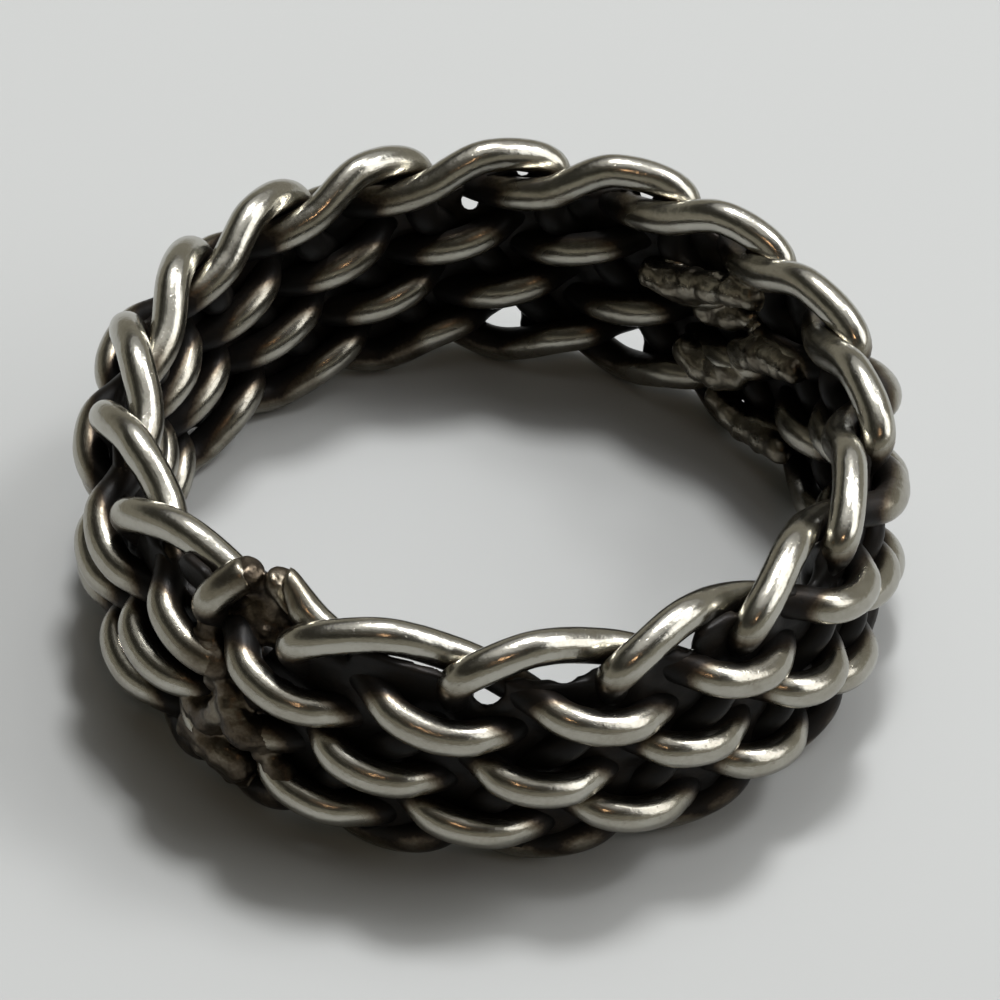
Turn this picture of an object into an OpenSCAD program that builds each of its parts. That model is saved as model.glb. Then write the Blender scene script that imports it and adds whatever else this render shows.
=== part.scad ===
// A finger ring woven from eight round silver wires.
// The wires make one flat over-and-under braid, seven crossings high,
// bent into a hoop and joined end to end by a lumpy solder seam.
// The hoop's axis is Z. It rests on its lower edge at z = 0.
// Angles are counted anticlockwise from above, from +X; the seam is at the front left.

/* [Wire] */
// wire diameter, mm
wire_d = 1.0; // [0.8:0.05:1.3]
// flat sides on the drawn wire
wire_sides = 6; // [5:1:8]

/* [Band] */
// radius of the band's middle surface, mm
mid_radius = 10.6; // [8.5:0.1:13]
// edge loops round the band
bights = 16.5; // [13.5:1:20.5]
// angle that the count of the loops starts from, degrees
start_angle = -164; // [-180:1:180]
// height of the braid's middle above the table, mm
mid_height = 3.80; // [3.5:0.05:4.5]

/* [Cut ends] */
// where the wires begin, counted in loops
cut_start = 1.52; // [1:0.02:2]
// where the wires end, counted in loops
cut_end = 18.34; // [17.5:0.02:19]

/* [Hidden] */
strands = 8;
rows = 7;
cycle = 2 * rows + 2;
// the flat-sided wire is drawn a little inside the round one, so that crossing wires stay apart
inset = 0.94;

// One line per row of crossings, top row first.
// height: of the crossing, from the braid's middle
// winding: outward offset of the wire that winds in and out
// steep: outward offset of the wire that climbs nearly straight
// lean: how far the row sits ahead of the row above it, in loops
// [row, height, winding, steep, lean]
row_table = [
    [1,  3.27, -1.00,  0.18, 0.00],
    [2,  1.92,  1.01, -0.15, 0.10],
    [3,  0.95, -1.02,  0.15, 0.18],
    [4,  0.05,  1.08, -0.10, 0.22],
    [5, -0.85, -1.04,  0.13, 0.19],
    [6, -1.72,  0.96, -0.22, 0.20],
    [7, -2.57, -1.06,  0.12, 0.20]
];

// Where a wire turns over the upper and the lower edge.
// [edge, share of a loop past the crossing, height, outward offset]
turn_table = [
    [0, 0.50,  4.04, -0.40],
    [1, 0.50, -3.33, -0.42]
];

// The hand-made loops aren't evenly spaced.
// [loop, degrees ahead of even spacing]
lag_table = [
    [-1, 0.5], [0, 0.7], [1, 0.6], [2, 0.2], [3, 1.2], [4, 2.6], [5, 3.0],
    [6, 3.5], [7, 3.2], [8, 3.3], [9, 3.9], [10, 3.2], [11, 2.9], [12, 2.6],
    [13, 1.4], [14, 0], [15, -1.6], [16, -3.5], [17, -4.8], [18, -4.6],
    [19, -3.4], [20, -3.4]
];

// Solder in the seam, from the top edge down.
// [angle, height, outward, radius]
seam_table = [
    [-131.5,  3.40,  0.10, 0.62],
    [-129.0,  2.50, -0.30, 0.70],
    [-130.5,  1.60,  0.35, 0.76],
    [-129.0,  0.75, -0.15, 0.78],
    [-131.0, -0.10,  0.50, 0.78],
    [-129.0, -0.95, -0.10, 0.78],
    [-130.0, -1.80,  0.45, 0.76],
    [-129.5, -2.80,  0.05, 0.60]
];

// Solder run onto the inner face, at the back right.
// [angle, height, outward, radius, second angle, second height, second outward, second radius]
patch_table = [
    [58.0,  0.80, -1.06, 0.50, 62.0,  1.05, -1.08, 0.44],
    [53.5, -0.85, -1.06, 0.52, 57.5, -0.72, -1.10, 0.44],
    [49.0, -1.05, -1.00, 0.46, 44.5, -1.15, -0.75, 0.42],
    [41.0,  0.70, -1.06, 0.46, 37.5,  0.85, -1.08, 0.44],
    [47.0, -2.40, -0.98, 0.46, 43.0, -2.55, -0.92, 0.42],
    [36.0, -0.95, -1.04, 0.48, 32.0, -0.80, -1.06, 0.42]
];

function lean_to(row, i) = i >= rows ? 0 : row_table[i][4] + lean_to(row, i + 1);
function lean(row) = lean_to(row, row);
pitch = 2 * PI * mid_radius / bights;

// Key point number q of wire j: [loops round the band, height, outward offset].
// A cycle climbs rows 7 to 1, turns over the top, winds down rows 1 to 7 and turns below.
function key_in(i, m) =
    i < rows ? [m + lean(rows - i), row_table[rows - 1 - i][1], row_table[rows - 1 - i][3]] :
    i == rows ? [m + lean(1) + turn_table[0][1], turn_table[0][2], turn_table[0][3]] :
    i < cycle - 1 ? [m + i - rows + lean(i - rows), row_table[i - rows - 1][1], row_table[i - rows - 1][2]] :
    [m + rows + turn_table[1][1], turn_table[1][2], turn_table[1][3]];
function key(j, q) = let (c = floor(q / cycle)) key_in(q - c * cycle, j + strands * c);

// Steps drawn between key point q and the next one.
function steps(q) = let (i = q - floor(q / cycle) * cycle)
    i < rows - 1 ? 1 : i <= rows ? 3 : i < cycle - 2 ? 4 : 3;

function gap(a, b) = pow(norm([(b[0] - a[0]) * pitch, b[1] - a[1], b[2] - a[2]]), 0.6);
function curve(p0, p1, p2, p3, t) = let (
    d0 = gap(p0, p1), d1 = gap(p1, p2), d2 = gap(p2, p3),
    m1 = ((p2 - p1) / d1 * d0 + (p1 - p0) / d0 * d1) / (d0 + d1),
    m2 = ((p3 - p2) / d2 * d1 + (p2 - p1) / d1 * d2) / (d1 + d2))
    (2*t*t*t - 3*t*t + 1) * p1 + (t*t*t - 2*t*t + t) * d1 * m1
    + (3*t*t - 2*t*t*t) * p2 + (t*t*t - t*t) * d1 * m2;

function lag(u) = let (
    i = max(1, min(len(lag_table) - 3, floor(u - lag_table[0][0]))),
    t = u - lag_table[i][0],
    a = lag_table[i - 1][1], b = lag_table[i][1], c = lag_table[i + 1][1], d = lag_table[i + 2][1])
    0.5 * (2*b + (c - a)*t + (2*a - 5*b + 4*c - d)*t*t + (3*b - a - 3*c + d)*t*t*t);

function at(angle, height, out) =
    [(mid_radius + out) * cos(angle), (mid_radius + out) * sin(angle), mid_height + height];
function place(p) = at(start_angle + p[0] * 360 / bights + lag(p[0]), p[1], p[2]);

// Centre line of wire j between the two cuts.
function line_of(j) = [
    for (q = [-26 : 52])
        let (p0 = key(j, q - 1), p1 = key(j, q), p2 = key(j, q + 1), p3 = key(j, q + 2), n = steps(q))
        if (p2[0] > cut_start - 1 && p1[0] < cut_end + 1)
            for (s = [0 : n - 1])
                let (p = curve(p0, p1, p2, p3, s / n))
                if (p[0] > cut_start && p[0] < cut_end) place(p)
];

// A round wire along a centre line, as rings of flat sides.
module wire(line) {
    n = len(line);
    r = wire_d / 2 * inset;
    points = [
        for (i = [0 : n - 1])
            let (
                t0 = line[min(i + 1, n - 1)] - line[max(i - 1, 0)],
                t = t0 / norm(t0),
                o0 = [line[i][0], line[i][1], 0] / norm([line[i][0], line[i][1]]),
                a0 = o0 - (o0 * t) * t,
                a = a0 / norm(a0),
                b = cross(t, a))
            for (k = [0 : wire_sides - 1])
                line[i] + r * (cos((k + 0.5) * 360 / wire_sides) * a + sin((k + 0.5) * 360 / wire_sides) * b)
    ];
    sides = [
        for (i = [0 : n - 2], k = [0 : wire_sides - 1])
            let (a = i * wire_sides + k, b = i * wire_sides + (k + 1) % wire_sides,
                 c = a + wire_sides, d = b + wire_sides)
            each [[a, d, b], [a, c, d]]
    ];
    first = [for (k = [0 : wire_sides - 1]) k];
    last = [for (k = [wire_sides - 1 : -1 : 0]) (n - 1) * wire_sides + k];
    polyhedron(points, concat(sides, [first, last]));
}

module blob(angle, height, out, radius) {
    translate(at(angle, height, out)) rotate([0, 0, angle]) sphere(r = radius, $fn = 6);
}

module seam() {
    for (i = [0 : len(seam_table) - 2])
        hull() {
            blob(seam_table[i][0], seam_table[i][1], seam_table[i][2], seam_table[i][3]);
            blob(seam_table[i + 1][0], seam_table[i + 1][1], seam_table[i + 1][2], seam_table[i + 1][3]);
        }
}

module patches() {
    for (p = patch_table)
        hull() {
            blob(p[0], p[1], p[2], p[3]);
            blob(p[4], p[5], p[6], p[7]);
        }
}

// One piece: the solder holds every wire.
module braided_band() {
    color([0.70, 0.68, 0.64])
    union() {
        for (j = [0 : strands - 1]) wire(line_of(j));
        seam();
        patches();
    }
}

braided_band();
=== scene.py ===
import math
from itertools import product

import bpy
import numpy as np
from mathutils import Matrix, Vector
from mathutils.bvhtree import BVHTree


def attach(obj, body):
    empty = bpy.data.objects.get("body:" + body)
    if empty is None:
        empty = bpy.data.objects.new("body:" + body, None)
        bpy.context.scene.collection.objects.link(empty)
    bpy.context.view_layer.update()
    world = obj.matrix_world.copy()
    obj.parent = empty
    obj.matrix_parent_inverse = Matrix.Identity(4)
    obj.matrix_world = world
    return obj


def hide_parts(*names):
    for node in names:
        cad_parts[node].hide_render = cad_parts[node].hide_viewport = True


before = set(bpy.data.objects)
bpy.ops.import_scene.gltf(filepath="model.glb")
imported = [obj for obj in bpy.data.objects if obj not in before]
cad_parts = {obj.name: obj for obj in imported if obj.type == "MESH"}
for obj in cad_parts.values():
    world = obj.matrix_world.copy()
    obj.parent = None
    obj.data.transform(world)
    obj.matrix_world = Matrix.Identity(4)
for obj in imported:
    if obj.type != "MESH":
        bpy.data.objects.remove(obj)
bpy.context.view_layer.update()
MM = 0.001

# ---------------------------------------------------------------- the braid, in millimetres
MID_RADIUS, MID_HEIGHT, BIGHTS, START = 10.6, 3.80, 16.5, -164.0
STRANDS, ROWS, CYCLE = 8, 7, 16
CUT_START, CUT_END = 1.52, 18.34
CUTS = {0: (1.74, 18.34), 1: (1.52, 18.23), 5: (1.74, 18.34), 7: (1.52, 18.22)}      # wires cut elsewhere
SLANTED = {0: (225, 0.14, 1.0)}                  # wire started with a slanted cut: (side, length, how far back it fades)
PINCHED = {0: (225, 0.72, 1.0)}                  # and squeezed towards a side: (side, share of the radius left, how far back)
WIRE_R = 0.495
STEP = 0.11        # distance between rings of points along a wire
SIDES = 24

# row: (height, winding wire's outward offset, steep wire's outward offset, lean)
ROW = {
    1: (3.22, -0.84, 0.28, 0.00),
    2: (1.90, 0.87, -0.38, 0.10),
    3: (0.95, -0.83, 0.21, 0.18),
    4: (0.05, 0.92, -0.12, 0.22),
    5: (-0.84, -0.86, 0.17, 0.19),
    6: (-1.71, 0.82, -0.22, 0.20),
    7: (-2.53, -0.85, 0.18, 0.20),
}
STEEP_AHEAD = {2: 0.09}        # row: how far the steep wire lies ahead of its place there, in loops
TOP_TURN = (0.50, 3.97, -0.38)
LOW_TURN = (0.50, -3.28, -0.38)
LAG = [(-1, 0.5), (0, 0.7), (1, 0.7), (2, 0.4), (3, 1.4), (4, 2.7), (5, 2.8), (6, 2.9), (7, 3.2), (8, 3.6),
       (9, 4.2), (10, 3.5), (11, 3.4), (12, 2.9), (13, 1.4), (14, 0.0), (15, -1.8), (16, -3.5), (17, -4.6),
       (18, -4.2), (19, -3.1), (20, -3.2)]

# The hoop isn't quite round: (angle, outward), in even steps
ROUND = [(-180, -0.12), (-150, 0.00), (-120, 0.06), (-90, 0.08), (-60, 0.08), (-30, 0.00), (0, -0.16), (30, -0.14),
         (60, -0.05), (90, 0.01), (120, 0.00), (150, 0.00)]

# Single crossings and turns that the hand-made braid pulls out of line.
# (kind, row, loop): (loops along, height, outward); A winding wire, B steep wire, T top turn, U low turn
NUDGE = {
    ("T", 0, 2): (-0.02, -0.02, 0.04), ("T", 0, 3): (0.00, -0.02, 0.06), ("T", 0, 4): (0.04, 0.02, 0.00),
    ("T", 0, 5): (0.02, 0.02, 0.04), ("T", 0, 6): (0.00, 0.02, 0.06), ("T", 0, 7): (0.00, 0.00, -0.08),
    ("T", 0, 8): (-0.02, -0.02, -0.12), ("T", 0, 0): (0.00, 0.30, -0.50), ("T", 0, 17): (-0.27, 0.30, -0.57),
    ("T", 0, 10): (-0.02, -0.02, -0.02),
    ("B", 1, 1): (-0.02, 0.04, -0.06), ("B", 1, 2): (0.04, 0.06, -0.12), ("B", 1, 4): (-0.06, -0.06, 0.08),
    ("B", 1, 5): (-0.06, -0.04, -0.06), ("B", 1, 6): (0.02, 0.02, -0.04), ("B", 1, 7): (0.00, -0.02, -0.12),
    ("B", 1, 8): (0.02, -0.06, -0.28), ("B", 1, 9): (0.00, -0.04, -0.08), ("B", 1, 10): (0.00, -0.04, -0.08),
    ("B", 1, 11): (0.02, -0.06, -0.08), ("B", 1, 12): (0.02, -0.04, -0.08), ("B", 1, 13): (0.00, -0.04, -0.08),
    ("B", 1, 16): (0.02, -0.02, 0.06),
    ("A", 1, 17): (0.00, 0.08, 0.00), ("A", 6, 18): (0.00, 0.00, -0.34), ("A", 1, 7): (0.00, 0.02, 0.12), ("A", 1, 8): (-0.02, 0.00, 0.04), ("A", 1, 10): (-0.02, -0.06, -0.10),
    ("A", 2, 1): (0.02, -0.02, 0.04), ("A", 2, 5): (-0.02, -0.04, 0.10), ("A", 2, 6): (-0.02, -0.02, -0.10),
    ("A", 2, 15): (0.00, 0.00, -0.08), ("A", 3, 2): (0.00, -0.04, 0.08), ("A", 3, 8): (-0.02, 0.00, 0.04),
    ("A", 3, 10): (0.06, 0.04, 0.04), ("A", 3, 13): (0.00, 0.04, 0.06), ("A", 4, 3): (0.00, -0.04, 0.08),
    ("A", 4, 4): (0.02, 0.04, -0.10), ("A", 4, 5): (-0.02, -0.04, 0.10), ("A", 4, 6): (0.00, 0.00, -0.10),
    ("A", 4, 15): (0.00, 0.00, -0.08), ("A", 5, 10): (0.00, 0.04, 0.08), ("A", 5, 11): (0.02, 0.00, 0.02),
    ("A", 5, 13): (0.02, 0.02, 0.06), ("A", 5, 14): (0.00, 0.02, 0.08), ("A", 6, 3): (0.00, 0.02, -0.04),
    ("A", 6, 6): (0.00, 0.02, -0.10), ("A", 7, 9): (0.00, 0.02, 0.08), ("A", 7, 11): (-0.02, 0.04, 0.06),
    ("A", 7, 12): (0.00, 0.08, 0.14), ("B", 7, 12): (0.00, 0.04, 0.12), ("B", 3, 10): (0.03, 0.00, 0.08),
}

# How a winding wire passes in and out between two crossings: (share of the way to the next crossing, share of offset)
OUTER_COME = [(0.25, 0.78), (0.43, 0.04)]                  # coming to a crossing where it lies outside
OUTER_LEAVE = [(0.24, 0.82), (0.38, 0.44), (0.52, 0.04)]   # leaving it
INNER_PASS = [(0.33, 0.66)]                                # coming to or leaving a crossing where it lies inside

PITCH = 2 * math.pi * MID_RADIUS / BIGHTS


def lean(row):
    return sum(ROW[r][3] for r in range(row + 1, ROWS + 1))


def keys(j):
    """Key points of wire j: (loops, height, outward) and a tag each. A cycle climbs, turns over the top, winds down."""
    out = []
    for c in range(-2, 4):
        m = j + STRANDS * c
        for row in range(ROWS, 0, -1):
            out.append(((m + lean(row) + STEEP_AHEAD.get(row, 0), ROW[row][0], ROW[row][2]), ("B", row, m)))
        out.append(((m + lean(1) + TOP_TURN[0], TOP_TURN[1], TOP_TURN[2]), ("T", 0, m)))
        for row in range(1, ROWS + 1):
            out.append(((m + row + lean(row), ROW[row][0], ROW[row][1]), ("A", row, m + row)))
        out.append(((m + ROWS + LOW_TURN[0], LOW_TURN[1], LOW_TURN[2]), ("U", 8, m)))
    put = [(np.array(p) + np.array(NUDGE.get(tag, (0, 0, 0))), tag) for p, tag in out]
    full = []
    for i, (p, tag) in enumerate(put):
        kind, row, m = tag
        come, leave = (OUTER_COME, OUTER_LEAVE) if row % 2 == 0 else (INNER_PASS, INNER_PASS)
        if kind == "A" and row > 1:
            for share, keep in reversed(come):
                q = p + (put[i - 1][0] - p) * share
                full.append((np.array([q[0], q[1], p[2] * keep]), ("F", row, m)))
        full.append((p, tag))
        if kind == "A" and row < ROWS:
            for share, keep in leave:
                q = p + (put[i + 1][0] - p) * share
                full.append((np.array([q[0], q[1], p[2] * keep]), ("F", row, m)))
    return full


def lag(u):
    x0 = LAG[0][0]
    y = np.array([v for _, v in LAG])
    i = np.clip(np.floor(u - x0).astype(int), 1, len(y) - 3)
    t = u - (i + x0)
    a, b, c, d = y[i - 1], y[i], y[i + 1], y[i + 2]
    return 0.5 * (2 * b + (c - a) * t + (2 * a - 5 * b + 4 * c - d) * t * t + (3 * b - a - 3 * c + d) * t ** 3)


def off_round(angle):
    y = np.array([v for _, v in ROUND])
    n = len(y)
    s = (np.asarray(angle, float) + 180) * n / 360
    i = np.floor(s).astype(int)
    t = s - i
    a, b, c, d = y[(i - 1) % n], y[i % n], y[(i + 1) % n], y[(i + 2) % n]
    return 0.5 * (2 * b + (c - a) * t + (2 * a - 5 * b + 4 * c - d) * t * t + (3 * b - a - 3 * c + d) * t ** 3)


def at(angle, height, out):
    a = np.radians(angle)
    r = MID_RADIUS + off_round(angle) + out
    return np.stack([r * np.cos(a), r * np.sin(a), MID_HEIGHT + height], -1)


def place(p):
    return at(START + p[:, 0] * 360 / BIGHTS + lag(p[:, 0]), p[:, 1], p[:, 2])


def curve(j, sub=14):
    """A smooth curve through wire j's key points, with the tag of each key point passed."""
    k = keys(j)
    pts = [p for p, _ in k]
    rows, tags = [], []
    t = (np.arange(sub) / sub)[:, None]
    for q in range(1, len(k) - 2):
        p = pts[q - 1:q + 3]
        if p[2][0] < CUT_START - 1 or p[1][0] > CUT_END + 1:
            continue
        d = [np.linalg.norm((p[i + 1] - p[i]) * (PITCH, 1, 1)) ** 0.6 for i in range(3)]
        m1 = ((p[2] - p[1]) / d[1] * d[0] + (p[1] - p[0]) / d[0] * d[1]) / (d[0] + d[1])
        m2 = ((p[3] - p[2]) / d[2] * d[1] + (p[2] - p[1]) / d[1] * d[2]) / (d[1] + d[2])
        rows.append((2 * t ** 3 - 3 * t ** 2 + 1) * p[1] + (t ** 3 - 2 * t ** 2 + t) * d[1] * m1
                    + (3 * t ** 2 - 2 * t ** 3) * p[2] + (t ** 3 - t ** 2) * d[1] * m2)
        tags.append(k[q][1])
    return np.concatenate(rows), tags


def centre_line(j):
    """Points of wire j's centre line between the two cuts, evenly spaced, with the loops count of each."""
    s, _ = curve(j)
    start, end = CUTS.get(j, (CUT_START, CUT_END))
    s = s[(s[:, 0] > start) & (s[:, 0] < end)]
    x = place(s)
    run = np.concatenate([[0], np.cumsum(np.linalg.norm(np.diff(x, axis=0), axis=1))])
    n = int(run[-1] / STEP)
    even = np.linspace(0, run[-1], n)
    out = np.stack([np.interp(even, run, x[:, k]) for k in range(3)], -1)
    for _ in range(2):    # takes out the small corners of the straight interpolation
        out[1:-1] = (out[:-2] + 2 * out[1:-1] + out[2:]) / 4
    return out, np.interp(even, run, s[:, 0])


# ---------------------------------------------------------------- small tools
def lattice(seed):
    return np.random.default_rng(seed).random((32, 32, 32))


def lumps(p, size, seed):
    """Smooth noise from -1 to 1 at points p, with lumps of about that size."""
    g = lattice(seed)
    q = np.asarray(p) / size
    i = np.floor(q).astype(int)
    f = q - i
    f = f * f * (3 - 2 * f)
    total = 0
    for c in product((0, 1), repeat=3):
        k = (i + np.array(c)) % 32
        w = np.prod(np.where(np.array(c) == 1, f, 1 - f), axis=-1)
        total = total + w * g[k[..., 0], k[..., 1], k[..., 2]]
    return total * 2 - 1


def ease(x, low, high):
    t = np.clip((x - low) / (high - low), 0, 1)
    return t * t * (3 - 2 * t)


def mesh_piece(name, verts, faces, material):
    me = bpy.data.meshes.new(name)
    me.from_pydata([tuple(v) for v in (np.asarray(verts) * MM)], [], [tuple(f) for f in faces])
    me.update()
    me.polygons.foreach_set("use_smooth", [True] * len(me.polygons))
    me.materials.append(material)
    o = bpy.data.objects.new(name, me)
    bpy.context.scene.collection.objects.link(o)
    return o


def give(o, name, kind, values):
    a = o.data.attributes.new(name, kind, "POINT")
    v = np.ascontiguousarray(values, np.float32).ravel()
    a.data.foreach_set("vector" if kind == "FLOAT_VECTOR" else "value", v)


# ---------------------------------------------------------------- materials
def node(nt, kind, at=(0, 0), **values):
    n = nt.nodes.new(kind)
    n.location = at
    for k, v in values.items():
        if hasattr(n, k):
            setattr(n, k, v)
        else:
            n.inputs[k.replace("_", " ")].default_value = v
    return n


def link(nt, a, b):
    nt.links.new(a, b)


def math_node(nt, op, a, b=None, c=None, clamp=False):
    n = nt.nodes.new("ShaderNodeMath")
    n.operation = op
    n.use_clamp = clamp
    for i, v in enumerate((a, b, c)):
        if v is None:
            continue
        if isinstance(v, (int, float)):
            n.inputs[i].default_value = v
        else:
            nt.links.new(v, n.inputs[i])
    return n.outputs[0]


def ramp(nt, fac, stops):
    n = nt.nodes.new("ShaderNodeValToRGB")
    e = n.color_ramp.elements
    e[0].position, e[0].color = stops[0][0], (*stops[0][1], 1)
    e[1].position, e[1].color = stops[-1][0], (*stops[-1][1], 1)
    for pos, col in stops[1:-1]:
        k = e.new(pos)
        k.color = (*col, 1)
    nt.links.new(fac, n.inputs["Fac"])
    return n.outputs["Color"]


def silver(name, solder=False):
    """Worn silver: bright where it is rubbed, brown and black where the braid shields it; the attribute it reads also
    carries painted shade on down-facing sides and on the black sheet in the chinks.
    """
    m = bpy.data.materials.new(name)
    m.use_nodes = True
    nt = m.node_tree
    nt.nodes.clear()
    out = node(nt, "ShaderNodeOutputMaterial", (900, 0))
    b = node(nt, "ShaderNodeBsdfPrincipled", (600, 0))
    link(nt, b.outputs[0], out.inputs[0])
    rub_and_shade = node(nt, "ShaderNodeAttribute", (-1400, 200), attribute_name="rub_and_shade").outputs["Fac"]
    run = node(nt, "ShaderNodeAttribute", (-1400, -200), attribute_name="run").outputs["Vector"]

    def cloud(size, detail=3.0, rough=0.55, stretch=(1, 1, 1)):
        mp = node(nt, "ShaderNodeMapping", (-1100, 0))
        mp.inputs["Scale"].default_value = tuple(k / size for k in stretch)
        link(nt, run, mp.inputs["Vector"])
        n = node(nt, "ShaderNodeTexNoise", (-900, 0))
        n.inputs["Scale"].default_value = 1.0
        n.inputs["Detail"].default_value = detail
        n.inputs["Roughness"].default_value = rough
        link(nt, mp.outputs[0], n.inputs["Vector"])
        return n.outputs["Fac"]

    broad, patch, fine = cloud(1.9), cloud(0.45), cloud(0.10, 4.0)
    drawn = cloud(0.06, 3.0, 0.6, (0.08, 1, 1))      # lines that run along the wire
    # how far the oxide is rubbed off, together with the painted shade that the attribute carries
    wear_and_shade = math_node(nt, "ADD", rub_and_shade, math_node(nt, "MULTIPLY_ADD", broad, 0.56, -0.28))
    wear_and_shade = math_node(nt, "ADD", wear_and_shade, math_node(nt, "MULTIPLY_ADD", patch, 0.26, -0.13))
    wear_and_shade = math_node(nt, "ADD", wear_and_shade, math_node(nt, "MULTIPLY_ADD", fine, 0.26, -0.13), clamp=True)
    colour = ramp(nt, wear_and_shade, [
        (0.00, (0.006, 0.0055, 0.005)),
        (0.22, (0.018, 0.014, 0.011)),
        (0.42, (0.090, 0.072, 0.052)),
        (0.62, (0.205, 0.184, 0.144)),
        (0.84, (0.345, 0.328, 0.278)),
        (1.00, (0.425, 0.412, 0.362)),
    ])
    link(nt, colour, b.inputs["Base Color"])
    link(nt, math_node(nt, "MULTIPLY", wear_and_shade, 2.6, clamp=True), b.inputs["Metallic"])
    b.inputs["Specular IOR Level"].default_value = 0.12
    rough = math_node(nt, "MULTIPLY_ADD", wear_and_shade, -0.23, 0.43)
    rough = math_node(nt, "ADD", rough, math_node(nt, "MULTIPLY_ADD", patch, 0.10, -0.05))
    rough = math_node(nt, "ADD", rough, math_node(nt, "MULTIPLY_ADD", fine, 0.06, -0.03), clamp=True)
    link(nt, rough, b.inputs["Roughness"])
    # pits and scratches
    pit = math_node(nt, "SUBTRACT", fine, 0.36)
    pit = math_node(nt, "MINIMUM", pit, 0.0)
    height = math_node(nt, "MULTIPLY_ADD", pit, 0.9, math_node(nt, "MULTIPLY", drawn, 0.10))
    height = math_node(nt, "ADD", height, math_node(nt, "MULTIPLY", patch, 0.6 if not solder else 0.8))
    bump = node(nt, "ShaderNodeBump", (300, -300))
    bump.inputs["Strength"].default_value = 0.5
    bump.inputs["Distance"].default_value = 0.00006 if not solder else 0.00012
    link(nt, height, bump.inputs["Height"])
    link(nt, bump.outputs[0], b.inputs["Normal"])
    return m


SILVER = silver("silver_wear_and_painted_shade")
SOLDER = silver("grainy_solder", solder=True)


# ---------------------------------------------------------------- the wires
def wire_mesh(line, j):
    """Rings of points round a centre line, with closed, slightly rounded ends."""
    n = len(line)
    t = np.gradient(line, axis=0)
    t /= np.linalg.norm(t, axis=1)[:, None]
    o = line * (1, 1, 0)
    o /= np.linalg.norm(o, axis=1)[:, None]
    a = o - (o * t).sum(1)[:, None] * t
    a /= np.linalg.norm(a, axis=1)[:, None]
    b = np.cross(t, a)
    phi = np.arange(SIDES) * 2 * math.pi / SIDES
    c, s = np.cos(phi)[None, :, None], np.sin(phi)[None, :, None]
    out = a[:, None] * c + b[:, None] * s
    along = np.arange(n) * STEP
    run = np.stack([np.broadcast_to(along[:, None], (n, SIDES)) + 70 * j,
                    np.broadcast_to(0.5 * np.cos(phi), (n, SIDES)),
                    np.broadcast_to(0.5 * np.sin(phi), (n, SIDES))], -1)
    r = WIRE_R * (1 + 0.014 * lumps(run, 1.6, 3) + 0.014 * lumps(run, 0.55, 4) + 0.006 * lumps(run, 0.28, 5))
    end = np.minimum(np.arange(n), np.arange(n)[::-1])      # rings from the nearer end
    r = r * np.interp(end, [0, 1, 2], [0.86, 0.97, 1.0])[:, None]
    v = line[:, None] + out * r[..., None]
    if j in PINCHED:
        side, left, fade = PINCHED[j]
        squeeze = ((1 - left) * (1 - ease(along, 0, fade)))[:, None, None]
        towards = a * math.cos(math.radians(side)) + b * math.sin(math.radians(side))
        v = v - out * r[..., None] * squeeze + towards[:, None] * squeeze * WIRE_R
    if j in SLANTED:
        side, length, fade = SLANTED[j]
        slant = length * np.cos(phi - math.radians(side))
        v -= t[:, None] * (slant[None] * (1 - ease(along, 0, fade))[:, None])[..., None]
    verts = v.reshape(-1, 3)
    verts = np.concatenate([verts, line[:1] - t[:1] * 0.02, line[-1:] + t[-1:] * 0.02])
    run = np.concatenate([run.reshape(-1, 3), run[:1, 0], run[-1:, 0]])
    i = np.arange(n - 1)[:, None] * SIDES
    k = np.arange(SIDES)[None]
    k2 = (k + 1) % SIDES
    faces = np.stack([i + k, i + k2, i + SIDES + k2, i + SIDES + k], -1).reshape(-1, 4).tolist()
    top = (n - 1) * SIDES
    for q in range(SIDES):
        faces.append((n * SIDES, (q + 1) % SIDES, q))
        faces.append((n * SIDES + 1, top + q, top + (q + 1) % SIDES))
    steep = np.concatenate([np.repeat(np.abs(t[:, 2]), SIDES), np.abs(t[[0, -1], 2])])
    return verts, faces, run, steep


LINES = [centre_line(j) for j in range(STRANDS)]
shapes = []            # (name, verts, faces, run, material)
STEEP = []             # how steeply each wire climbs at each of its points
for j in range(STRANDS):
    verts, faces, run, steep = wire_mesh(LINES[j][0], j)
    STEEP.append(steep)
    shapes.append([f"wire_{j + 1}", verts, faces, run, SILVER])


# ---------------------------------------------------------------- solder
def skin(field, low, step):
    """Closed quad mesh of the surface where a field on a grid is zero; the field is negative inside."""
    inside = field < 0
    shape = np.array(field.shape) - 1
    count = np.zeros(shape, int)
    for c in product((0, 1), repeat=3):
        count += inside[tuple(slice(k, k + m) for k, m in zip(c, shape))]
    active = (count > 0) & (count < 8)
    index = np.full(shape, -1)
    index[active] = np.arange(active.sum())
    total, number = np.zeros((*shape, 3)), np.zeros(shape)
    quads = []
    for axis in range(3):
        lo = [slice(None)] * 3
        hi = [slice(None)] * 3
        lo[axis], hi[axis] = slice(0, -1), slice(1, None)
        f0, f1 = field[tuple(lo)], field[tuple(hi)]
        where = np.argwhere((f0 < 0) != (f1 < 0))
        if not len(where):
            continue
        v0, v1 = f0[tuple(where.T)], f1[tuple(where.T)]
        t = v0 / (v0 - v1)
        point = where.astype(float)
        point[:, axis] += t
        u, w = [k for k in range(3) if k != axis]
        cells = []
        for du, dw in ((0, 0), (-1, 0), (-1, -1), (0, -1)):
            cell = where.copy()
            cell[:, u] += du
            cell[:, w] += dw
            ok = np.all((cell >= 0) & (cell < shape), axis=1)
            np.add.at(total, tuple(cell[ok].T), point[ok])
            np.add.at(number, tuple(cell[ok].T), 1)
            cells.append((cell, ok))
        good = np.all([ok for _, ok in cells], axis=0)
        q = np.stack([index[tuple(cell[good].T)] for cell, _ in cells], -1)
        flip = (v0 < 0)[good] ^ (axis == 1)
        q[flip] = q[flip][:, ::-1]
        quads.append(q)
    verts = total[active] / number[active][:, None] * step + low
    return verts, np.concatenate(quads)


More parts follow.
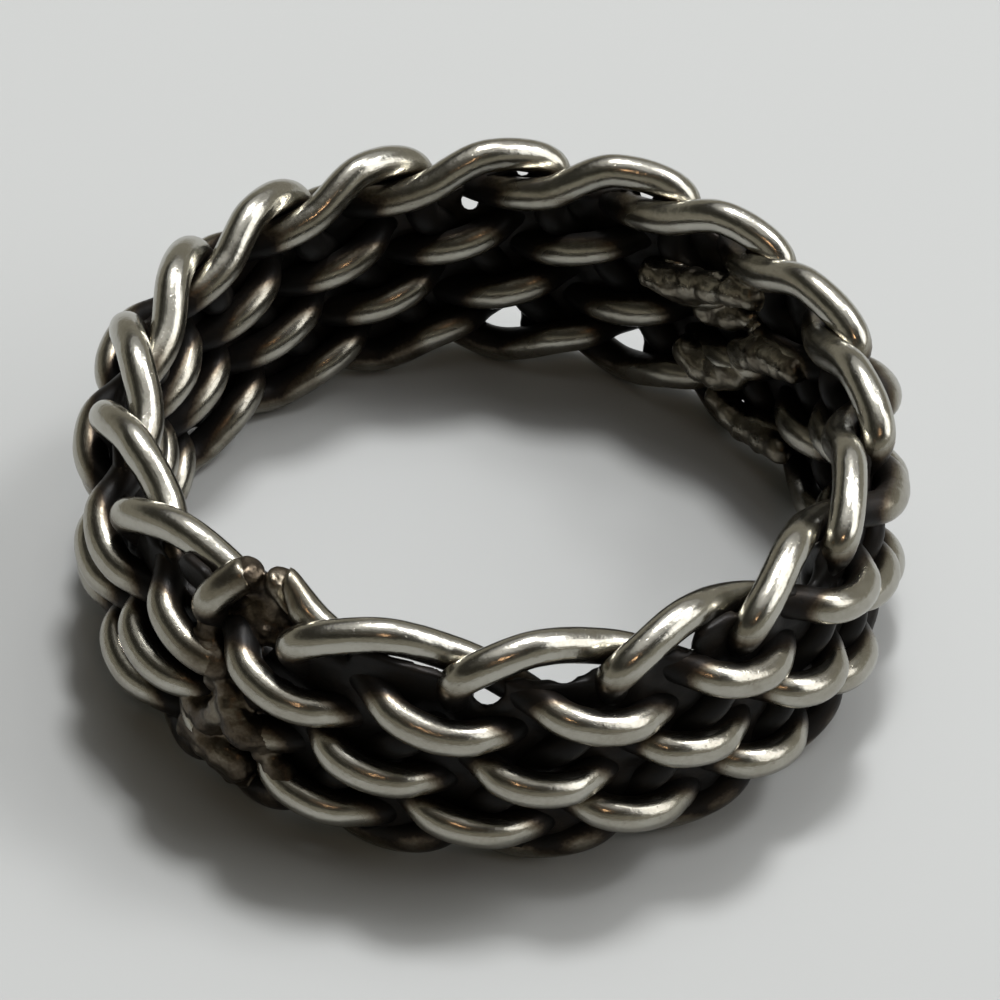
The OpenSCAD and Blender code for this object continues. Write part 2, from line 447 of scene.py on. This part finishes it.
def to_line(p, a, b):
    d = b - a
    t = np.clip(((p - a) @ d) / (d @ d), 0, 1)
    return np.linalg.norm(p - (a + t[:, None] * d), axis=1), t


def solder(name, tracks, step=0.065, blend=0.22, reach=0.30, wires=None, seed=11, rugged=1.0):
    """Lumpy solder along tracks of (angle, height, outward, radius), drawn up the wires that it wets."""
    pts = [(at(*q[:3]), q[3]) for tr in tracks for q in tr]
    low = np.min([p - r - 0.6 for p, r in pts], axis=0)
    high = np.max([p + r + 0.6 for p, r in pts], axis=0)
    shape = np.ceil((high - low) / step).astype(int) + 1
    grid = np.stack(np.meshgrid(*[np.arange(k) for k in shape], indexing="ij"), -1).reshape(-1, 3) * step + low
    blob = np.full(len(grid), 9.0)
    for tr in tracks:
        if len(tr) == 1:
            d = np.linalg.norm(grid - at(*tr[0][:3]), axis=1) - tr[0][3]
            blob = np.minimum(blob, d)
        for q0, q1 in zip(tr, tr[1:]):
            d, t = to_line(grid, at(*q0[:3]), at(*q1[:3]))
            d = d - (q0[3] + (q1[3] - q0[3]) * t)
            h = np.clip(0.5 + 0.5 * (blob - d) / 0.12, 0, 1)
            blob = blob * (1 - h) + d * h - 0.12 * h * (1 - h)
    near = blob < 0.9
    g = grid[near]
    rise = 0.10 * lumps(g, 0.75, seed) + 0.05 * lumps(g, 0.33, seed + 1) + 0.02 * lumps(g, 0.15, seed + 2)
    rise = rise + 0.09 * (0.30 - np.abs(lumps(g, 0.45, seed + 5)))      # creases between the lumps
    bl = blob[near] + rugged * rise
    wd = np.full(len(g), 9.0)
    for line, _ in (LINES if wires is None else [LINES[k] for k in wires]):
        ok = np.all((line > low - 1) & (line < high + 1), axis=1)
        pl = line[ok]
        for s in range(0, len(g), 20000):
            if len(pl):
                gg = g[s:s + 20000]
                d2 = (gg ** 2).sum(1)[:, None] + (pl ** 2).sum(1)[None] - 2 * gg @ pl.T
                wd[s:s + 20000] = np.minimum(wd[s:s + 20000], np.sqrt(np.maximum(d2.min(1), 0)))
    wd = wd - WIRE_R + 0.03
    h = np.clip(0.5 + 0.5 * (wd - bl) / blend, 0, 1)
    f = wd * (1 - h) + bl * h - blend * h * (1 - h)
    f = np.maximum(f, bl - reach)
    field = np.full(len(grid), 1.0)
    field[near] = f
    verts, faces = skin(field.reshape(shape), low, step)
    return [name, verts, faces.tolist(), verts.copy(), SOLDER]


SEAM = [
    # a core on the inner side, from the top edge down
    [(-131.0, 2.90, -0.70, 0.30), (-129.8, 2.40, -0.50, 0.42), (-130.2, 1.60, -0.25, 0.54), (-129.5, 0.70, -0.25, 0.56),
     (-130.5, -0.20, -0.10, 0.58), (-130.0, -1.10, -0.10, 0.58), (-130.5, -2.00, 0.00, 0.55), (-130.0, -2.90, 0.00, 0.40)],
    # lumps over the wire ends on the outer side
    [(-133.6, 2.30, 0.40, 0.30), (-132.0, 1.85, 0.52, 0.36), (-130.2, 1.60, 0.62, 0.36), (-131.2, 0.90, 0.46, 0.38)],
    [(-136.0, -0.80, 0.50, 0.40), (-132.0, -0.75, 0.60, 0.46), (-129.0, 0.05, 0.55, 0.44)],
    [(-137.0, -1.85, 0.42, 0.42), (-133.5, -1.75, 0.52, 0.50), (-130.2, -1.80, 0.56, 0.50), (-127.6, -2.10, 0.50, 0.46)],
    [(-134.5, -2.25, 0.28, 0.38), (-131.4, -2.35, 0.32, 0.42), (-128.6, -2.60, 0.30, 0.40)],
    # thin runs
    [(-128.6, 1.05, 0.66, 0.26), (-127.6, 0.55, 0.76, 0.36), (-126.0, 0.15, 0.82, 0.42), (-124.6, -0.12, 0.80, 0.44)],
    [(-123.2, -0.10, 0.72, 0.24), (-122.2, -0.75, 0.74, 0.28), (-119.2, -1.20, 0.74, 0.28)],
    [(-130.3, 3.78, -0.66, 0.33), (-128.4, 3.60, -0.84, 0.32), (-126.6, 3.62, -0.92, 0.35), (-125.2, 3.35, -0.88, 0.37), (-124.4, 2.80, -0.75, 0.36)],
    [(-128.6, 2.90, -0.45, 0.34), (-125.6, 2.60, -0.40, 0.34), (-122.0, 2.50, -0.45, 0.30)],
    [(-124.8, 2.80, -0.15, 0.12)],
]
RUNS = [
    [(61.5, 1.05, -1.00, 0.44), (57.5, 1.15, -1.05, 0.50), (53.0, 1.45, -1.05, 0.50), (48.6, 1.75, -1.02, 0.46), (44.0, 2.00, -0.98, 0.42), (40.0, 2.20, -0.92, 0.38)],
    [(53.5, -1.20, -1.02, 0.46), (49.9, -1.38, -1.06, 0.50), (46.0, -1.34, -1.05, 0.50), (42.0, -1.03, -1.00, 0.44)],
    [(41.0, 0.00, -1.00, 0.44), (38.0, 0.35, -1.04, 0.48), (35.0, 0.60, -1.05, 0.48), (29.5, 0.95, -1.00, 0.42), (25.5, 1.15, -0.95, 0.36)],
    [(47.0, -2.40, -0.94, 0.36), (43.0, -2.60, -0.95, 0.40), (39.0, -2.70, -0.96, 0.42), (34.0, -2.55, -0.98, 0.42), (28.0, -2.20, -0.98, 0.38)],
    [(51.5, 0.25, -0.60, 0.40), (46.0, 0.65, -0.60, 0.42), (41.5, 1.05, -0.60, 0.40)],
]
shapes.append(solder("seam_solder", SEAM))
shapes.append(solder("inner_solder", RUNS, seed=23, rugged=0.55))

# ---------------------------------------------------------------- dark sheet in the chinks: painted shade
# Chinks that stay open right through the band: two points (angle, height, outward) and a radius
OPEN = [
    ((88.8, -2.10, -0.5), (88.9, -2.95, 0.5), 0.55),
    ((67.0, -2.30, -0.5), (69.0, -3.20, 0.5), 0.50),
    ((94.6, 2.35, -0.5), (94.2, 1.50, 0.5), 0.26),
    ((85.9, 3.60, -0.5), (86.2, 2.75, 0.5), 0.20),
    ((64.4, 3.60, -0.5), (66.6, 2.70, 0.5), 0.22),
    ((-90.1, 2.37, -0.5), (-90.1, 3.37, 0.5), 0.42),
    ((-78.8, 3.05, -0.5), (-79.9, 4.05, 0.5), 0.44),
]
# Wide chinks that are stopped up: two points (angle, height) and a radius
STOPPED = [((-107.5, 3.20), (-98.5, 2.90), 0.52), ((-82.5, 2.65), (-76.0, 2.60), 0.42), ((-57.2, 3.20), (-53.8, 3.30), 0.45), ((-114.0, 2.65), (-112.0, 2.60), 0.45),
           ((125.5, -2.95), (127.0, -2.85), 0.45), ((-139.0, 3.53), (-136.5, 3.53), 0.45), ((39.5, -2.60), (42.5, -2.65), 0.45)]


def shade_sheet(name, step=0.13, spread=0.60, level=0.95, depth=0.15, begin=-127.0, end=229.0):
    """Black sheet that nearly fills the chinks of the braid, painted shade where the gaps between the wires look dark,
    on a grid that follows the hoop from seam to seam.
    """
    low = np.array([-0.65, 0.0, -4.3])          # outward, along the hoop, height
    high = np.array([0.65, math.radians(end - begin) * MID_RADIUS, 4.6])
    shape = ((high - low) / step).astype(int) + 1
    total = np.zeros(shape)
    span = int(2.6 * spread / step)
    for line, _ in LINES:
        p = line[::2]
        angle = np.degrees(np.arctan2(p[:, 1], p[:, 0]))
        flat = np.stack([np.linalg.norm(p[:, :2], axis=1) - MID_RADIUS - off_round(angle),
                         np.radians((angle - begin) % 360) * MID_RADIUS, p[:, 2] - MID_HEIGHT], -1)
        for q in flat:
            first = np.maximum(((q - low) / step).astype(int) - span, 0)
            last = np.minimum(((q - low) / step).astype(int) + span + 1, shape)
            if np.any(last <= first):
                continue
            g = [np.exp(-((np.arange(first[k], last[k]) * step + low[k] - q[k]) ** 2) / (2 * spread ** 2)) for k in range(3)]
            total[tuple(slice(*k) for k in zip(first, last))] += g[0][:, None, None] * g[1][None, :, None] * g[2]
    total *= 2 * STEP / (math.sqrt(2 * math.pi) * spread)
    grid = np.stack(np.meshgrid(*[np.arange(k) for k in shape], indexing="ij"), -1).reshape(-1, 3) * step + low
    field = level + 0.45 * ease(grid[:, 2], 2.9, 3.5) - total.ravel() + 0.04 * lumps(grid, 0.8, 41) + 0.02 * lumps(grid, 0.35, 42)
    field = np.maximum(field, 2 * (np.abs(grid[:, 0]) - depth) - 0.25 * lumps(grid, 0.6, 43))
    x = at(begin + np.degrees(grid[:, 1] / MID_RADIUS), grid[:, 2], grid[:, 0])
    for a, b, r in STOPPED:
        d = to_line(x, at(*a, 0.0), at(*b, 0.0))[0] - r
        field = np.minimum(field, np.maximum(d, 2 * (np.abs(grid[:, 0]) - depth)))
    for a, b, r in OPEN:
        field = np.maximum(field, 2 * (r - to_line(x, at(*a), at(*b))[0]))
    field = field.reshape(shape)
    for k in range(3):
        for edge in (0, -1):
            field[tuple(edge if q == k else slice(None) for q in range(3))] = 1.0
    verts, faces = skin(field, low, step)
    x = at(begin + np.degrees(verts[:, 1] / MID_RADIUS), verts[:, 2], verts[:, 0])
    return [name, x, faces.tolist(), x.copy(), SILVER]


# ---------------------------------------------------------------- how open each point of the surface is
first = np.cumsum([0] + [len(s[1]) for s in shapes])
every = np.concatenate([s[1] for s in shapes])
tree = BVHTree.FromPolygons([tuple(v) for v in every],
                            [tuple(i + first[k] for i in f) for k, s in enumerate(shapes) for f in s[2]])
RAYS = 20
golden = math.pi * (3 - math.sqrt(5))
fan = []
for i in range(RAYS):       # directions spread evenly over a half sphere, more of them near its pole
    z = math.sqrt(1 - (i + 0.5) / RAYS)
    r = math.sqrt(1 - z * z)
    fan.append((r * math.cos(i * golden), r * math.sin(i * golden), z))
for name, verts, faces, run, material in shapes + [shade_sheet("painted_shade_sheet")]:
    o = mesh_piece(name, verts, faces, material)
    if name == "painted_shade_sheet":
        # the sheet is near black: painted shade in the chinks
        give(o, "rub_and_shade", "FLOAT", 0.04 + 0.08 * lumps(verts, 0.5, 44))
        give(o, "run", "FLOAT_VECTOR", run)
        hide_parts("braided_band")
        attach(o, "root")
        continue
    normals = np.zeros(len(verts) * 3, np.float32)
    o.data.vertices.foreach_get("normal", normals)
    normals = normals.reshape(-1, 3)
    side = np.cross(normals, (0.30, 0.50, 0.81))
    side /= np.maximum(np.linalg.norm(side, axis=1), 1e-6)[:, None]
    third = np.cross(normals, side)
    start = verts + normals * 0.03
    seen = np.zeros(len(verts))
    for x, y, z in fan:
        d = side * x + third * y + normals * z
        for i, (p, v) in enumerate(zip(start.tolist(), d.tolist())):
            hit = tree.ray_cast(p, v, 2.4)[3]
            seen[i] += 1.0 if hit is None else 0.35 * hit / 2.4
    seen /= RAYS
    if name.startswith("wire"):
        body = seen[:-2].reshape(-1, SIDES)
        for _ in range(3):
            body[1:-1] = (body[:-2] + 2 * body[1:-1] + body[2:]) / 4
            body = (np.roll(body, 1, 1) + 2 * body + np.roll(body, -1, 1)) / 4
        seen[:-2] = body.ravel()
    # rubbed outside, inside and along the two edges; shielded between the wires, and the float ends left dark partly as
    # patina and partly as painted shade
    rad = np.linalg.norm(verts[:, :2], axis=1) - MID_RADIUS
    top = verts[:, 2] - MID_HEIGHT
    winds = 1 - ease(STEEP[int(name[5:]) - 1], 0.40, 0.65) if name.startswith("wire") else 1
    reach = np.max([0.90 * winds * ease(rad, 0.36, 0.98), 0.84 * winds * ease(-rad, 0.68, 1.20), ease(top, 2.7, 3.7),
                    0.85 * ease(-top, 2.8, 3.5)], axis=0)
    # down-facing sides made darker: painted shade that dims the floor's reflection
    rub_and_shade = reach * ease(seen, 0.10, 0.50) - 0.10 * ease(-normals[:, 2], 0.1, 0.8)
    if name.startswith("wire"):      # dulled near the seam, where it was heated
        along = (np.arange(len(verts)) // SIDES) * STEP
        rub_and_shade = rub_and_shade * (0.62 + 0.38 * ease(np.minimum(along, along[-1] - along), 0.2, 1.8))
    if name.endswith("solder"):
        rub_and_shade = (0.62 if name.startswith("inner") else 0.36) + 0.30 * ease(seen, 0.05, 0.50) + 0.14 * lumps(verts, 0.5, 31)
    give(o, "rub_and_shade", "FLOAT", rub_and_shade)
    give(o, "run", "FLOAT_VECTOR", run)
    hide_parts("braided_band")
    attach(o, "root")

# ---------------------------------------------------------------- floor, lights, camera
floor_mat = bpy.data.materials.new("pale_floor")
floor_mat.use_nodes = True
fb = floor_mat.node_tree.nodes["Principled BSDF"]
fb.inputs["Base Color"].default_value = (0.375, 0.383, 0.378, 1)
fb.inputs["Roughness"].default_value = 0.9
fme = bpy.data.meshes.new("floor")
S = 1.2
fme.from_pydata([(-S, -S, 0), (S, -S, 0), (S, S, 0), (-S, S, 0)], [], [(0, 1, 2, 3)])
fme.materials.append(floor_mat)
floor = bpy.data.objects.new("floor", fme)
bpy.context.scene.collection.objects.link(floor)

world = bpy.data.worlds.new("room")
bpy.context.scene.world = world
world.use_nodes = True
wt = world.node_tree
where = wt.nodes.new("ShaderNodeTexCoord")
split = wt.nodes.new("ShaderNodeSeparateXYZ")
link(wt, where.outputs["Generated"], split.inputs[0])
sky = ramp(wt, split.outputs["Z"], [
    (0.00, (0.330, 0.310, 0.260)),
    (0.36, (0.310, 0.295, 0.245)),
    (0.54, (0.040, 0.038, 0.030)),
    (0.76, (0.030, 0.029, 0.024)),
    (0.90, (0.120, 0.116, 0.100)),
    (1.00, (0.190, 0.185, 0.165)),
])
link(wt, sky, wt.nodes["Background"].inputs["Color"])
wt.nodes["Background"].inputs["Strength"].default_value = 1.0


def area(name, azimuth, elevation, distance, size, power, colour, size_y=None):
    """A soft light in a direction seen from the ring; azimuth 0 is behind the camera, positive to the right."""
    l = bpy.data.lights.new(name, "AREA")
    l.shape = "RECTANGLE" if size_y else "DISK"
    l.size = size
    if size_y:
        l.size_y = size_y
    l.energy = power
    l.color = colour
    o = bpy.data.objects.new(name, l)
    a, e = math.radians(azimuth), math.radians(elevation)
    d = Vector((math.sin(a) * math.cos(e), -math.cos(a) * math.cos(e), math.sin(e)))
    o.location = d * distance + Vector((0, 0, 0.004))
    o.rotation_euler = d.to_track_quat("Z", "Y").to_euler()
    bpy.context.scene.collection.objects.link(o)
    return o


area("key", 168, 70, 0.60, 0.10, 2.7, (0.99, 0.99, 1.0))
area("glow", 164, 69, 0.59, 0.25, 0.80, (0.99, 0.99, 1.0))
area("second", 112, 52, 0.60, 0.12, 0.8, (0.99, 0.99, 1.0))
area("second_glow", 110, 51, 0.59, 0.25, 0.75, (0.99, 0.99, 1.0))
area("side", 84, 30, 0.80, 0.55, 2.0, (0.99, 0.99, 1.0))
area("broad", 150, 66, 0.70, 1.10, 1.5, (0.99, 0.99, 1.0))
area("warm", 10, 50, 0.60, 0.03, 0.06, (1.0, 0.62, 0.36))
bpy.context.scene.view_settings.view_transform = "Standard"

ELEV, ROLL, DIST = math.radians(42.9), math.radians(0.97), 0.150
fwd = Vector((0, math.cos(ELEV), -math.sin(ELEV)))
right0, up0 = Vector((1, 0, 0)), Vector((0, math.sin(ELEV), math.cos(ELEV)))
right = right0 * math.cos(ROLL) + up0 * math.sin(ROLL)
up = up0 * math.cos(ROLL) - right0 * math.sin(ROLL)
PX = 0.001 / 35.4      # metres to a pixel of the 1000 x 1000 picture, at the ring
target = Vector((0, 0, MID_HEIGHT * MM)) + right * (7.6 * PX) - up * (6.5 * PX)
cam_data = bpy.data.cameras.new("camera")
cam_data.sensor_width = 36
cam_data.lens = 36 * 5.310
cam_data.clip_start = 0.005
cam_data.clip_end = 10
cam = bpy.data.objects.new("camera", cam_data)
rot = np.array([[right[k], up[k], -fwd[k]] for k in range(3)])
from mathutils import Matrix
cam.matrix_world = Matrix.Translation(target - fwd * DIST) @ Matrix(rot.tolist()).to_4x4()
bpy.context.scene.collection.objects.link(cam)
bpy.context.scene.camera = cam
